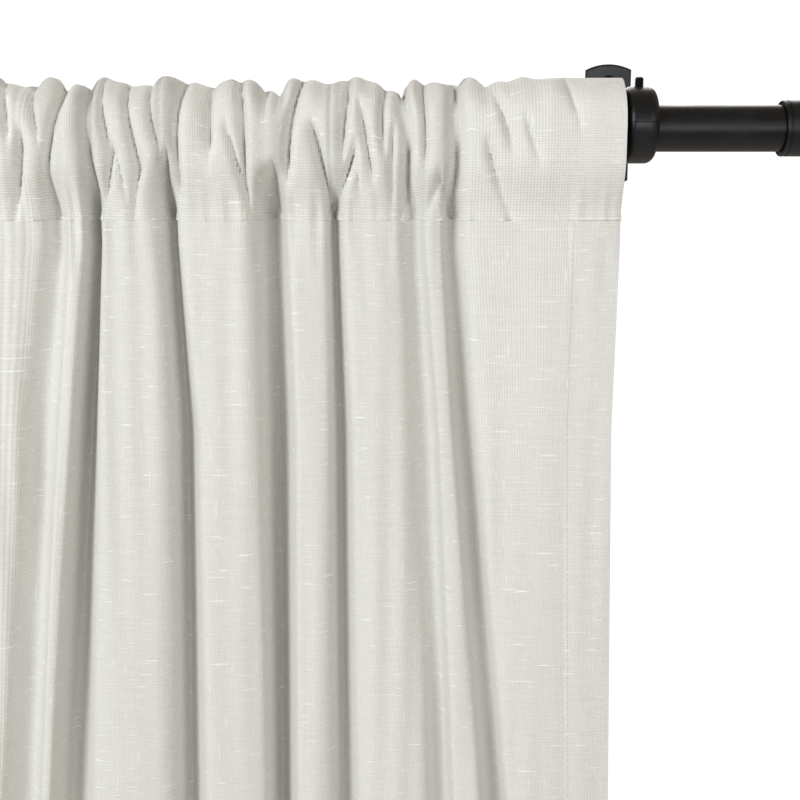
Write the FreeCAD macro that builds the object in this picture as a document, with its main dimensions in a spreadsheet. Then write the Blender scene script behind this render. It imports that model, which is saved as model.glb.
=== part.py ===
import FreeCAD, Part
import math
import os
import re

import Sketcher

# A pair of rod-pocket curtains on a telescoping metal rod.
# Millimetres. X runs along the rod to the right, Y points into the wall (the wall's face is Y = 0) and
# Z points up. The origin is the centre of the left wall plate's back face.

# Driving dimensions, each a cell of the sheet "Sizes": name -> (value, what it is).
SIZES = {
    # where the pieces sit
    "bracket_span": (1500, "between the centres of the two bracket rings"),
    "projection": (110, "wall face to rod centre line"),
    "seat_gap": (0.05, "between a tube and the cradle that it rests in"),
    # telescoping rod
    "outer_d": (28, "outer tube, outside diameter"),
    "outer_wall": (1, "outer tube, wall"),
    "tube_gap": (0.5, "radial gap between the tubes, which the bush and the glide fill"),
    "inner_wall": (1, "inner tube, wall"),
    "mouth_offset": (30, "outer tube's mouth, right of the middle of the span"),
    "tube_overlap": (400, "how far the inner tube reaches into the outer tube"),
    "running_gap": (0.05, "radial gap of a piece that slides in or on a tube"),
    "bush_length": (28, "nylon bush, length inside the outer tube"),
    "bush_collar": (2.5, "nylon bush, collar outside the mouth"),
    "glide_length": (24, "nylon glide on the inner tube's hidden end"),
    "glide_collar": (4, "glide, its running collar"),
    "glide_wall": (2, "glide, wall"),
    # end caps
    "cap_offset": (77.5, "ring centre to the cap's mouth"),
    "cap_wall": (0.9, "cap, wall"),
    "cap_grip": (30, "cap, depth of the bore over the tube"),
    "cap_length": (38, "cap, overall length"),
    "cap_gap": (0.1, "radial gap between the cap or its sleeve and the tube"),
    "cap_lip": (2.2, "rolled lip at the cap's mouth, width"),
    "cap_round": (0.5, "rounding of the lip"),
    "cap_groove_w": (0.7, "groove behind the lip, width"),
    "cap_groove_d": (0.35, "groove behind the lip, depth"),
    "cap_dome": (3, "rounding of the closed end"),
    "sleeve_recess": (0.8, "sleeve's face behind the cap's mouth"),
    # bracket ring: a cradle below and a hinged keeper above
    "ring_fit": (0.3, "radial room of the outer tube in the ring's bore"),
    "ring_wall": (6.2, "ring, wall"),
    "ring_w": (18, "ring, width along the rod"),
    "ring_side": (0.8, "ring, flat left on its sides inside the rounded outer edges"),
    "ring_chamfer": (0.4, "ring, chamfer of its bore"),
    "split_height": (1.4, "front split above the ring's centre"),
    "split_gap": (0.3, "gap between cradle and keeper"),
    "split_angle": (40, "rear split, degrees above the horizontal"),
    "hinge_out": (0.3, "hinge pin, past the ring's radius along the rear split"),
    "knuckle_r": (3.4, "hinge knuckle, radius"),
    "knuckle_mid": (6.4, "middle knuckle, width"),
    "knuckle_all": (15, "the three knuckles, width"),
    "hinge_gap": (0.3, "between a knuckle and what turns past it"),
    "pin_d": (3, "hinge pin, diameter"),
    "pin_gap": (0.05, "radial gap of the pin in its knuckles"),
    "boss_r": (7.5, "arm boss, radius"),
    "boss_length": (8, "arm boss, behind the ring"),
    "boss_root": (1.7, "wall left between the arm boss's root and the ring's bore"),
    "spigot_r": (3, "arm spigot, radius"),
    "spigot_length": (7, "arm spigot, length"),
    "fit_gap": (0.05, "gap round a spigot or a screw that is fixed in a hole"),
    # set screw
    "screw_d": (5, "set screw, thread diameter"),
    "screw_root": (4.2, "set screw, thread root diameter"),
    "screw_pitch": (0.8, "set screw, thread pitch"),
    "screw_turns": (16, "set screw, number of thread turns"),
    "screw_point": (0.7, "set screw, plain point and plain end, each"),
    "screw_tip_gap": (0.3, "set screw's point above the tube"),
    "socket_af": (2.5, "set screw, socket across flats"),
    "socket_depth": (3, "set screw, socket depth"),
    # arm and wall plate
    "arm_r": (6, "arm, radius"),
    "arm_flange_r": (11, "arm flange, radius"),
    "arm_flange_t": (2.5, "arm flange, thickness"),
    "arm_cone": (3, "arm, cone behind the flange"),
    "plate_w": (28, "wall plate, width"),
    "plate_tall": (74, "wall plate, height over the arched ends"),
    "plate_t": (4, "wall plate, thickness"),
    "plate_arc": (31, "wall plate, radius of the arched ends"),
    "plate_edge": (1.2, "wall plate, rounding of the front edge"),
    "wall_hole_d": (5, "wall screw hole, diameter"),
    "wall_hole_spacing": (52, "between the two wall screw holes"),
    "wall_hole_sink": (1.8, "wall screw hole, countersink"),
    "arm_screw_r": (2.5, "arm screw, radius"),
    "arm_screw_head_r": (4.6, "arm screw, head radius"),
    "arm_screw_head_t": (2.6, "arm screw, head height"),
    "arm_screw_reach": (11, "arm screw, how far it reaches into the arm"),
    "arm_screw_sink": (0.3, "arm screw's head below the plate's back"),
    # curtain panels
    "panel_width": (1321, "one panel, flat width"),
    "panel_length": (2134, "one panel, header top to bottom edge"),
    "centre_gap": (201, "between the two panels' leading edges"),
    "edge_gap": (0.5, "between a panel's outer edge and its bracket ring"),
    "header_flare": (1.5, "header's height above the rod, in outer radii, before header_stand"),
    "header_stand": (7, "header's top above that height"),
    "pocket_depth": (77, "header's top to the pocket's stitch line"),
    "pocket_flare": (1.25, "pocket's half width, in outer radii, before pocket_ease"),
    "pocket_ease": (1, "added to the pocket's half width"),
    "pocket_top": (1.6, "half the pocket's thickness at the header"),
    "pocket_foot": (3, "half the pocket's thickness at the stitch line"),
    "pocket_wall": (1.2, "pocket's wall across its widest point, in cloth thicknesses"),
    "header_layers": (2, "layers sewn together in the header"),
    "stitch_layers": (3, "layers sewn together at the stitch line"),
    "cloth_t": (0.8, "cloth, thickness of one layer"),
    "hem_layers": (3, "layers in a turned hem"),
    "side_hem": (25, "side hem, width"),
    "bottom_hem": (100, "bottom hem, height"),
    "hem_gap": (0.3, "between the leading hem and the cloth beside it"),
    "hem_root": (1.5, "how far a side hem's strip runs up into the pocket's foot"),
    "fold_pitch": (53, "wanted distance from fold to fold"),
}

# Places worked out from the driving dimensions, as expressions.
OUTER_R = "(outer_d / 2)"
OUTER_BORE_R = f"({OUTER_R} - outer_wall)"
INNER_R = f"({OUTER_BORE_R} - tube_gap)"
INNER_BORE_R = f"({INNER_R} - inner_wall)"
CAP_BORE_R = f"({OUTER_R} + cap_gap)"
RING_BORE_R = f"({OUTER_R} + ring_fit)"
RING_R = f"({RING_BORE_R} + ring_wall)"
RING_ROUND = "(ring_wall - ring_side)"
ROD_Z = "(seat_gap - ring_fit)"
RIGHT_Z = f"({ROD_Z} + {RING_BORE_R} - {INNER_R} - seat_gap)"
MOUTH_X = "(bracket_span / 2 + mouth_offset)"
OVERHANG = "(cap_offset + cap_grip)"
PIN_Y = f"(({RING_R} + hinge_out) * cos(split_angle * 1 deg))"
PIN_Z = f"(split_height + ({RING_R} + hinge_out) * sin(split_angle * 1 deg))"
BOSS_END = f"({RING_R} + boss_length)"
PANEL_SPAN = "((bracket_span - ring_w - 2 * edge_gap - centre_gap) / 2)"
EDGE_X = "(ring_w / 2 + edge_gap)"
HEADER_RISE = f"({OUTER_R} * header_flare + header_stand)"
HEADER_Z = f"({ROD_Z} + {HEADER_RISE})"
STITCH_Z = f"({HEADER_Z} - pocket_depth)"
HEM_Z = f"({HEADER_Z} - panel_length + bottom_hem)"
FOOT_Z = f"({HEADER_Z} - panel_length)"

doc = FreeCAD.newDocument("rod_pocket_curtains")
sheet = doc.addObject("Spreadsheet::Sheet", "Sizes")
for row, (alias, (number, meaning)) in enumerate(SIZES.items(), start=1):
    sheet.set(f"A{row}", alias)
    sheet.set(f"B{row}", str(number))
    sheet.set(f"C{row}", meaning)
    sheet.setAlias(f"B{row}", alias)
doc.recompute()

sub_parts = []
cuts = []


def cells(expression):
    """The expression with each size's name pointing at its cell of the sheet."""
    return re.sub(r"[a-z]\w*", lambda m: f"Sizes.{m[0]}" if m[0] in SIZES else m[0], str(expression))


def value(expression):
    """What an expression comes to, as a number."""
    result = sheet.evalExpression(cells(expression))
    return float(getattr(result, "Value", result))


def bind(thing, prop, expression):
    """Ties a property to the sheet."""
    thing.setExpression(prop, cells(expression))


def place(thing, x="0", y="0", z="0"):
    """Ties a sub-part's place to the sheet and counts it as a sub-part."""
    for axis, expression in zip("xyz", (x, y, z)):
        bind(thing, f".Placement.Base.{axis}", expression)
    sub_parts.append(thing)
    return thing


# Sketches and PartDesign features


def new_body(name):
    body = doc.addObject("PartDesign::Body", name)
    body.Label = name
    return body


def new_sketch(body, plane, name, lift=None):
    """A sketch on one of the body's own origin planes, lifted off it if asked."""
    sketch = body.newObject("Sketcher::SketchObject", f"{body.Name}_{name}")
    origin_plane = [f for f in body.Origin.OriginFeatures if f.Role == plane][0]
    sketch.AttachmentSupport = [(origin_plane, "")]
    sketch.MapMode = "FlatFace"
    if lift is not None:
        bind(sketch, ".AttachmentOffset.Base.z", lift)
    return sketch


def tie(sketch, kind, targets, expression):
    """One dimension of a sketch, tied to the sheet."""
    index = sketch.addConstraint(Sketcher.Constraint(kind, *targets, value(expression)))
    name = f"size_{index}"
    sketch.renameConstraint(index, name)
    bind(sketch, f"Constraints.{name}", expression)


def tie_point(sketch, geometry, vertex, x, y):
    tie(sketch, "DistanceX", (-1, 1, geometry, vertex), x)
    tie(sketch, "DistanceY", (-1, 1, geometry, vertex), y)


def draw_circle(sketch, radius, x="0", y="0"):
    centre = FreeCAD.Vector(value(x), value(y), 0)
    index = sketch.addGeometry(Part.Circle(centre, FreeCAD.Vector(0, 0, 1), value(radius)), False)
    tie_point(sketch, index, 3, x, y)
    tie(sketch, "Radius", (index,), radius)


def outward_arc(start, end, radius):
    """The short arc from start to end that bulges to the right of that line."""
    middle = (start + end) * 0.5
    half = (end - start) * 0.5
    left = FreeCAD.Vector(-half.y, half.x, 0).normalize()
    centre = middle + left * math.sqrt(max(radius**2 - half.Length**2, 0))
    first = math.atan2(start.y - centre.y, start.x - centre.x)
    last = math.atan2(end.y - centre.y, end.x - centre.x)
    if last < first:
        last += 2 * math.pi
    return Part.ArcOfCircle(Part.Circle(centre, FreeCAD.Vector(0, 0, 1), radius), first, last)


def draw_outline(sketch, corners, arcs=None):
    """A closed outline, anticlockwise. corners holds (x, y) expressions; arcs gives the radius of each side
    that bulges outwards, by the number of its first corner."""
    arcs = arcs or {}
    points = [FreeCAD.Vector(value(x), value(y), 0) for x, y in corners]
    sides = []
    for i, start in enumerate(points):
        end = points[(i + 1) % len(points)]
        if i in arcs:
            side = outward_arc(start, end, value(arcs[i]))
        else:
            side = Part.LineSegment(start, end)
        sides.append(sketch.addGeometry(side, False))
    for i, side in enumerate(sides):
        following = sides[(i + 1) % len(sides)]
        sketch.addConstraint(Sketcher.Constraint("Coincident", side, 2, following, 1))
    for i, (x, y) in enumerate(corners):
        tie_point(sketch, sides[i], 1, x, y)
    for i, radius in arcs.items():
        tie(sketch, "Radius", (sides[i],), radius)


def add_pad(body, sketch, length, symmetric=False, reverse=False):
    pad = body.newObject("PartDesign::Pad", f"{sketch.Name}_pad")
    pad.Profile = sketch
    pad.SideType = "Symmetric" if symmetric else "One side"
    pad.Reversed = reverse
    bind(pad, "Length", length)
    return pad


def add_revolution(body, sketch, axis):
    turned = body.newObject("PartDesign::Revolution", f"{sketch.Name}_turned")
    turned.Profile = sketch
    turned.ReferenceAxis = (sketch, [axis])
    turned.Angle = 360
    return turned


def add_pocket(body, sketch, length=None, symmetric=True, reverse=False):
    """Cuts right through, or by the given length; the cut is checked at the end."""
    pocket = body.newObject("PartDesign::Pocket", f"{sketch.Name}_cut")
    pocket.Profile = sketch
    pocket.SideType = "Symmetric" if symmetric else "One side"
    pocket.Reversed = reverse
    if length is None:
        pocket.Type = "ThroughAll"
    else:
        bind(pocket, "Length", length)
    cuts.append(pocket)
    return pocket


def add_edge_feature(body, kind, prop, size, chosen):
    """A fillet or chamfer on the edges of the body's last feature that chosen() picks."""
    doc.recompute()
    base = body.Tip
    names = [f"Edge{i}" for i, edge in enumerate(base.Shape.Edges, start=1) if chosen(edge)]
    feature = body.newObject(f"PartDesign::{kind}", f"{body.Name}_{kind.lower()}_{len(body.Group)}")
    feature.Base = (base, names)
    bind(feature, prop, size)
    return feature


def turned_piece(name, plane, corners, axis, arcs=None):
    """A sub-part made by turning one outline round an axis."""
    body = new_body(name)
    sketch = new_sketch(body, plane, "section")
    draw_outline(sketch, corners, arcs)
    add_revolution(body, sketch, axis)
    return body


# Telescoping rod


def tube(name, radius, wall, length):
    """A tube along +X from its own origin."""
    body = new_body(name)
    sketch = new_sketch(body, "YZ_Plane", "section")
    draw_circle(sketch, radius)
    draw_circle(sketch, f"{radius} - {wall}")
    add_pad(body, sketch, length)
    return body


def telescoping_rod():
    outer = tube("outer_tube", OUTER_R, "outer_wall", f"{MOUTH_X} + {OVERHANG}")
    place(outer, f"-{OVERHANG}", "-projection", ROD_Z)
    inner_length = f"bracket_span + {OVERHANG} - {MOUTH_X} + tube_overlap"
    inner = tube("inner_tube", INNER_R, "inner_wall", inner_length)
    place(inner, f"{MOUTH_X} - tube_overlap", "-projection", ROD_Z)

    # the bush fills the gap between the tubes and its collar covers the outer tube's end
    bore = f"{INNER_R} + running_gap"
    bush = turned_piece(
        "tube_bush",
        "XY_Plane",
        [
            ("-bush_length", bore),
            ("bush_collar", bore),
            ("bush_collar", OUTER_R),
            ("0", OUTER_R),
            ("0", OUTER_BORE_R),
            ("-bush_length", OUTER_BORE_R),
        ],
        "H_Axis",
    )
    place(bush, MOUTH_X, "-projection", ROD_Z)

    # the glide is plugged into the inner tube's hidden end; its collar runs in the outer tube
    glide = turned_piece(
        "inner_tube_glide",
        "XY_Plane",
        [
            ("-glide_collar", f"{INNER_BORE_R} - glide_wall"),
            ("glide_length", f"{INNER_BORE_R} - glide_wall"),
            ("glide_length", INNER_BORE_R),
            ("0", INNER_BORE_R),
            ("0", f"{OUTER_BORE_R} - running_gap"),
            ("-glide_collar", f"{OUTER_BORE_R} - running_gap"),
        ],
        "H_Axis",
    )
    place(glide, f"{MOUTH_X} - tube_overlap", "-projection", ROD_Z)


# End caps


def end_cap(name):
    """A closed cap along +X from its mouth, with a rolled lip and a groove behind it."""
    outside = f"({CAP_BORE_R} + cap_wall)"
    groove_end = "cap_lip + cap_groove_w"
    return turned_piece(
        name,
        "XY_Plane",
        [
            ("0", CAP_BORE_R),
            ("cap_grip", CAP_BORE_R),
            ("cap_grip", "0"),
            ("cap_length", "0"),
            ("cap_length", f"{outside} - cap_dome"),
            ("cap_length - cap_dome", outside),
            (groove_end, outside),
            (groove_end, f"{outside} - cap_groove_d"),
            ("cap_lip", f"{outside} - cap_groove_d"),
            ("cap_lip", f"{outside} - cap_round"),
            ("cap_lip - cap_round", outside),
            ("cap_round", outside),
            ("0", f"{outside} - cap_round"),
        ],
        "H_Axis",
        {4: "cap_dome", 9: "cap_round", 11: "cap_round"},
    )


def end_caps():
    right = end_cap("right_end_cap")
    place(right, "bracket_span + cap_offset", "-projection", ROD_Z)
    left = end_cap("left_end_cap")
    left.Placement = FreeCAD.Placement(FreeCAD.Vector(), FreeCAD.Rotation(FreeCAD.Vector(0, 0, 1), 180))
    place(left, "-cap_offset", "-projection", ROD_Z)

    # the inner tube is thinner than the cap's bore, so a nylon sleeve makes up the difference
    sleeve = turned_piece(
        "right_cap_sleeve",
        "XY_Plane",
        [
            ("sleeve_recess", f"{INNER_R} + cap_gap"),
            ("cap_grip", f"{INNER_R} + cap_gap"),
            ("cap_grip", CAP_BORE_R),
            ("sleeve_recess", CAP_BORE_R),
        ],
        "H_Axis",
    )
    place(sleeve, "bracket_span + cap_offset", "-projection", ROD_Z)


# Brackets. A ring is turned whole, then cut along the same two split lines: cradle below, keeper above.


def turned_ring(body):
    side = "ring_w / 2"
    sketch = new_sketch(body, "XY_Plane", "section")
    draw_outline(
        sketch,
        [
            (f"ring_chamfer - {side}", RING_BORE_R),
            (f"{side} - ring_chamfer", RING_BORE_R),
            (side, f"{RING_BORE_R} + ring_chamfer"),
            (side, f"{RING_BORE_R} + ring_side"),
            (f"{side} - {RING_ROUND}", RING_R),
            (f"{RING_ROUND} - {side}", RING_R),
            (f"-{side}", f"{RING_BORE_R} + ring_side"),
            (f"-{side}", f"{RING_BORE_R} + ring_chamfer"),
        ],
        {3: RING_ROUND, 5: RING_ROUND},
    )
    add_revolution(body, sketch, "H_Axis")


def split_ring(body, start, keep_above):
    """Cuts away one side of the split: level at the front, then sloping up to the hinge at the rear."""
    far = f"(2 * {RING_R})"
    rear_y = f"{far} * cos(split_angle * 1 deg)"
    rear_z = f"{start} + {far} * sin(split_angle * 1 deg)"
    sketch = new_sketch(body, "YZ_Plane", "split")
    if keep_above:
        low = f"-{far}"
        corners = [("0", start), (f"-{far}", start), (f"-{far}", low), (rear_y, low), (rear_y, rear_z)]
    else:
        top = f"2 * {far}"
        corners = [("0", start), (rear_y, rear_z), (rear_y, top), (f"-{far}", top), (f"-{far}", start)]
    draw_outline(sketch, corners)
    add_pocket(body, sketch)


def pin_circle(body, name, radius, lift=None):
    sketch = new_sketch(body, "YZ_Plane", name, lift)
    draw_circle(sketch, radius, PIN_Y, PIN_Z)
    return sketch


def cradle(name):
    """The ring's lower part, with the arm's boss behind it and the two outer knuckles."""
    body = new_body(name)
    turned_ring(body)
    split_ring(body, "split_height", keep_above=False)
    socket_r = "spigot_r + fit_gap"
    socket_end = f"{BOSS_END} - spigot_length - fit_gap"
    boss = new_sketch(body, "XY_Plane", "boss")
    draw_outline(
        boss,
        [
            ("0", f"{RING_BORE_R} + boss_root"),
            ("boss_r", f"{RING_BORE_R} + boss_root"),
            ("boss_r", BOSS_END),
            (socket_r, BOSS_END),
            (socket_r, socket_end),
            ("0", socket_end),
        ],
    )
    add_revolution(body, boss, "V_Axis")
    add_pad(body, pin_circle(body, "knuckles", "knuckle_r"), "knuckle_all", symmetric=True)
    relief = pin_circle(body, "relief", "knuckle_r + hinge_gap")
    add_pocket(body, relief, "knuckle_mid + 2 * hinge_gap")
    add_pocket(body, pin_circle(body, "pin_hole", "pin_d / 2 + pin_gap"))
    return body


def keeper(name):
    """The ring's upper part, with the middle knuckle and the set screw's hole."""
    body = new_body(name)
    turned_ring(body)
    split_ring(body, "split_height + split_gap", keep_above=True)
    for side, lift in (("right", "knuckle_mid / 2"), ("left", "-knuckle_mid / 2")):
        relief = pin_circle(body, f"relief_{side}", "knuckle_r + hinge_gap", lift)
        add_pocket(body, relief, "ring_w", symmetric=False, reverse=side == "right")
    add_pad(body, pin_circle(body, "knuckle", "knuckle_r"), "knuckle_mid", symmetric=True)
    add_pocket(body, pin_circle(body, "pin_hole", "pin_d / 2 + pin_gap"))
    hole = new_sketch(body, "XY_Plane", "screw_hole")
    draw_circle(hole, "screw_d / 2 + fit_gap")
    add_pocket(body, hole)
    return body


def set_screw(name):
    """A headless screw standing on its point, with thread ridges and a hexagon socket."""
    length = "(screw_turns * screw_pitch + 2 * screw_point)"
    root = "screw_root / 2"
    corners = [("0", "0"), (f"{root} - screw_point / 2", "0"), (root, "screw_point")]
    for turn in range(int(SIZES["screw_turns"][0])):
        corners.append(("screw_d / 2", f"screw_point + {turn + 0.5} * screw_pitch"))
        corners.append((root, f"screw_point + {turn + 1} * screw_pitch"))
    corners += [(f"{root} - screw_point / 2", length), ("0", length)]
    body = turned_piece(name, "XZ_Plane", corners, "V_Axis")
    socket = new_sketch(body, "XY_Plane", "socket", length)
    reach = "(socket_af / 2 / cos(30 deg))"
    draw_outline(
        socket,
        [(f"{reach} * cos({60 * i} deg)", f"{reach} * sin({60 * i} deg)") for i in range(6)],
    )
    add_pocket(body, socket, "socket_depth", symmetric=False)
    return body


def arm(name):
    """A round arm with a flange against the plate and a spigot in the cradle's boss. Its own origin is on
    the wall's face; it runs towards -Y."""
    front = "-plate_t"
    tip = f"({BOSS_END} - projection)"
    screw_end = f"{front} - arm_screw_reach - fit_gap"
    screw_bore = "arm_screw_r + fit_gap"
    return turned_piece(
        name,
        "XY_Plane",
        [
            ("0", f"{tip} - spigot_length"),
            ("spigot_r", f"{tip} - spigot_length"),
            ("spigot_r", tip),
            ("arm_r", tip),
            ("arm_r", f"{front} - arm_flange_t - arm_cone"),
            ("arm_flange_r", f"{front} - arm_flange_t"),
            ("arm_flange_r", front),
            (screw_bore, front),
            (screw_bore, screw_end),
            ("0", screw_end),
        ],
        "V_Axis",
    )


def arm_screw(name):
    """The countersunk screw that holds the arm on, from the plate's back."""
    tip = "-plate_t - arm_screw_reach"
    head = "-arm_screw_sink"
    return turned_piece(
        name,
        "XY_Plane",
        [
            ("0", tip),
            ("arm_screw_r", tip),
            ("arm_screw_r", f"{head} - arm_screw_head_t"),
            ("arm_screw_head_r", head),
            ("0", head),
        ],
        "V_Axis",
    )


def wall_plate(name):
    """A plate with arched ends, two countersunk wall holes and the arm screw's hole."""
    body = new_body(name)
    shoulder = "(plate_tall / 2 - plate_arc + sqrt(plate_arc ^ 2 - plate_w ^ 2 / 4))"
    outline = new_sketch(body, "XZ_Plane", "outline")
    draw_outline(
        outline,
        [
            ("-plate_w / 2", f"-{shoulder}"),
            ("plate_w / 2", f"-{shoulder}"),
            ("plate_w / 2", shoulder),
            ("-plate_w / 2", shoulder),
        ],
        {0: "plate_arc", 2: "plate_arc"},
    )
    add_pad(body, outline, "plate_t")
    holes = new_sketch(body, "XZ_Plane", "holes")
    draw_circle(holes, "wall_hole_d / 2", "0", "wall_hole_spacing / 2")
    draw_circle(holes, "wall_hole_d / 2", "0", "-wall_hole_spacing / 2")
    add_pocket(body, holes)

    # the middle hole is turned with its countersink, so that it follows the arm screw
    screw = new_sketch(body, "XY_Plane", "arm_screw_hole")
    bore = "(arm_screw_r + fit_gap)"
    cone_foot = "(-arm_screw_sink - arm_screw_head_t)"
    draw_outline(
        screw,
        [
            ("0", "-2 * plate_t"),
            (bore, "-2 * plate_t"),
            (bore, f"{cone_foot} - fit_gap"),
            ("arm_screw_head_r + fit_gap", "-arm_screw_sink"),
            ("arm_screw_head_r + fit_gap", "plate_t"),
            ("0", "plate_t"),
        ],
    )
    groove = body.newObject("PartDesign::Groove", f"{name}_arm_screw_cut")
    groove.Profile = screw
    groove.ReferenceAxis = (screw, ["V_Axis"])
    groove.Angle = 360
    cuts.append(groove)

    front = -value("plate_t")
    wall_r = value("wall_hole_d / 2")

    def on_front(edge):
        return all(abs(v.Y - front) < 1e-6 for v in edge.Vertexes)

    def is_wall_hole(edge):
        return isinstance(edge.Curve, Part.Circle) and abs(edge.Curve.Radius - wall_r) < 1e-6

    def is_rim(edge):
        return on_front(edge) and max(abs(v.X) for v in edge.Vertexes) > value("plate_w / 2") - 1e-3

    add_edge_feature(body, "Chamfer", "Size", "wall_hole_sink", lambda e: on_front(e) and is_wall_hole(e))
    add_edge_feature(body, "Fillet", "Radius", "plate_edge", is_rim)
    return body


def bracket(side, x, z, tube_r):
    """One bracket; x and z place its ring's centre, which is level with its wall plate's centre."""
    place(wall_plate(f"{side}_wall_plate"), x, "0", z)
    place(arm_screw(f"{side}_arm_screw"), x, "0", z)
    place(arm(f"{side}_arm"), x, "0", z)
    place(cradle(f"{side}_cradle"), x, "-projection", z)
    place(keeper(f"{side}_keeper"), x, "-projection", z)

    pin = doc.addObject("Part::Cylinder", f"{side}_hinge_pin")
    pin.Placement = FreeCAD.Placement(FreeCAD.Vector(), FreeCAD.Rotation(FreeCAD.Vector(0, 1, 0), 90))
    bind(pin, "Radius", "pin_d / 2")
    bind(pin, "Height", "knuckle_all")
    place(pin, f"{x} - knuckle_all / 2", f"{PIN_Y} - projection", f"{z} + {PIN_Z}")

    place(set_screw(f"{side}_set_screw"), x, "-projection", f"{ROD_Z} + {tube_r} + screw_tip_gap")


# Curtain panels. The pocket is a tube of cloth, kite-shaped in section, that hangs on the rod.


def draw_pocket_section(sketch):
    """The pocket's section on the YZ plane, its outside and its inside; Z = 0 is the rod's centre line."""
    foot = f"({HEADER_RISE} - pocket_depth)"
    half = f"({OUTER_R} * pocket_flare + pocket_ease)"
    draw_outline(
        sketch,
        [
            ("pocket_foot", foot),
            (half, "0"),
            ("pocket_top", HEADER_RISE),
            ("-pocket_top", HEADER_RISE),
            (f"-{half}", "0"),
            ("-pocket_foot", foot),
        ],
    )
    inner_half = f"({half} - cloth_t * pocket_wall)"
    draw_outline(
        sketch,
        [
            ("0", f"{foot} + stitch_layers * cloth_t + hem_root"),
            (inner_half, "0"),
            ("0", f"{HEADER_RISE} - header_layers * cloth_t"),
            (f"-{inner_half}", "0"),
        ],
    )


def rod_pocket(name, length):
    body = new_body(name)
    sketch = new_sketch(body, "YZ_Plane", "section")
    draw_pocket_section(sketch)
    add_pad(body, sketch, length)
    return body


def side_hem(name):
    """A turned side hem: the end of the pocket and the strip that hangs from it, X = 0 to its width."""
    body = new_body(name)
    ring = new_sketch(body, "YZ_Plane", "pocket_end")
    draw_pocket_section(ring)
    add_pad(body, ring, "side_hem")
    half = "(cloth_t * hem_layers / 2)"
    top = f"{HEADER_RISE} - pocket_depth + hem_root"
    bottom = f"{HEADER_RISE} - panel_length"
    strip = new_sketch(body, "YZ_Plane", "strip")
    draw_outline(strip, [(f"-{half}", bottom), (half, bottom), (half, top), (f"-{half}", top)])
    add_pad(body, strip, "side_hem")
    return body


def half_fold_angle(ratio):
    """The half angle of a fold's arc whose cloth is ratio times as long as its pitch."""
    low, high = 0.01, math.pi - 0.01
    for _ in range(60):
        middle = (low + high) / 2
        low, high = (middle, high) if middle / math.sin(middle) < ratio else (low, middle)
    return low


def folded_cloth(name, start_x, span, low_z, high_z, layers):
    """Cloth hanging in even folds: arcs to the front and to the back by turns, thickened and extruded down.
    The outermost folds stand clear of the side hems by as much as they bulge past their ends."""
    folds = max(3, round(value(f"({span}) / fold_pitch")))
    fullness = value("panel_width - 2 * side_hem") / value(f"{PANEL_SPAN} - 2 * side_hem")
    half_angle = half_fold_angle(fullness)
    widest_r = value(span) / folds / (4 * math.sin(half_angle))
    bulge = widest_r * (1 - math.sin(max(half_angle, math.pi / 2)))
    inset = bulge + value("cloth_t * hem_layers / 2 + hem_gap")
    length = value(span) - 2 * inset
    radius = length / folds / (4 * math.sin(half_angle))
    half_t = value("cloth_t") * layers / 2
    depth = radius * math.cos(half_angle)

    def chain(offset):
        """The arcs of one face of the cloth, from its start to its end."""
        arcs = []
        for i in range(2 * folds):
            towards = 1 if i % 2 else -1
            centre_x = length / folds * (i / 2 + 0.25)
            r = radius + towards * offset
            points = []
            for share in (-1, 0, 1):
                angle = share * half_angle
                y = towards * (r * math.cos(angle) - depth)
                points.append(FreeCAD.Vector(centre_x + r * math.sin(angle), y, 0))
            arcs.append(Part.Arc(*points).toShape())
        return arcs

    front, back = chain(-half_t), chain(half_t)
    ends = [Part.makeLine(a.Vertexes[v].Point, b.Vertexes[v].Point) for a, b, v in
            ((front[0], back[0], 0), (front[-1], back[-1], -1))]
    section = Part.Face(Part.Wire(Part.__sortEdges__(front + back + ends)))
    piece = doc.addObject("Part::Feature", name)
    piece.Label = name
    piece.Shape = section.extrude(FreeCAD.Vector(0, 0, value(f"{high_z} - {low_z}")))
    piece.Placement = FreeCAD.Placement()
    return place(piece, f"{start_x} + {inset}", "-projection", low_z)


def panel(side):
    """One curtain panel: its outer edge is beside its bracket, its leading edge faces the middle gap."""
    far_side = side == "right"
    outer_x = f"(bracket_span - {EDGE_X} - side_hem)" if far_side else EDGE_X
    reach = f"{EDGE_X} + {PANEL_SPAN}"
    lead_x = f"(bracket_span - ({reach}))" if far_side else f"({reach} - side_hem)"
    cloth_x = f"({lead_x} + side_hem + hem_gap)" if far_side else f"({EDGE_X} + side_hem)"
    cloth_span = f"({PANEL_SPAN} - 2 * side_hem - hem_gap)"

    place(rod_pocket(f"{side}_rod_pocket", cloth_span), cloth_x, "-projection", ROD_Z)
    place(side_hem(f"{side}_outer_hem"), outer_x, "-projection", ROD_Z)
    place(side_hem(f"{side}_leading_hem"), lead_x, "-projection", ROD_Z)
    folded_cloth(f"{side}_drop_panel", cloth_x, cloth_span, HEM_Z, STITCH_Z, 1)
    layers = value("hem_layers")
    folded_cloth(f"{side}_bottom_hem", cloth_x, cloth_span, FOOT_Z, HEM_Z, layers)


telescoping_rod()
end_caps()
bracket("left", "0", "0", OUTER_R)
bracket("right", "bracket_span", RIGHT_Z, INNER_R)
panel("left")
panel("right")
doc.recompute()

for thing in doc.Objects:
    if "Invalid" in thing.State or "Error" in thing.State:
        raise RuntimeError(f"{thing.Name} failed: {thing.State}")
for cut in cuts:
    if cut.Shape.Volume > cut.BaseFeature.Shape.Volume - 1e-3:
        raise RuntimeError(f"{cut.Name} cuts nothing")

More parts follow.
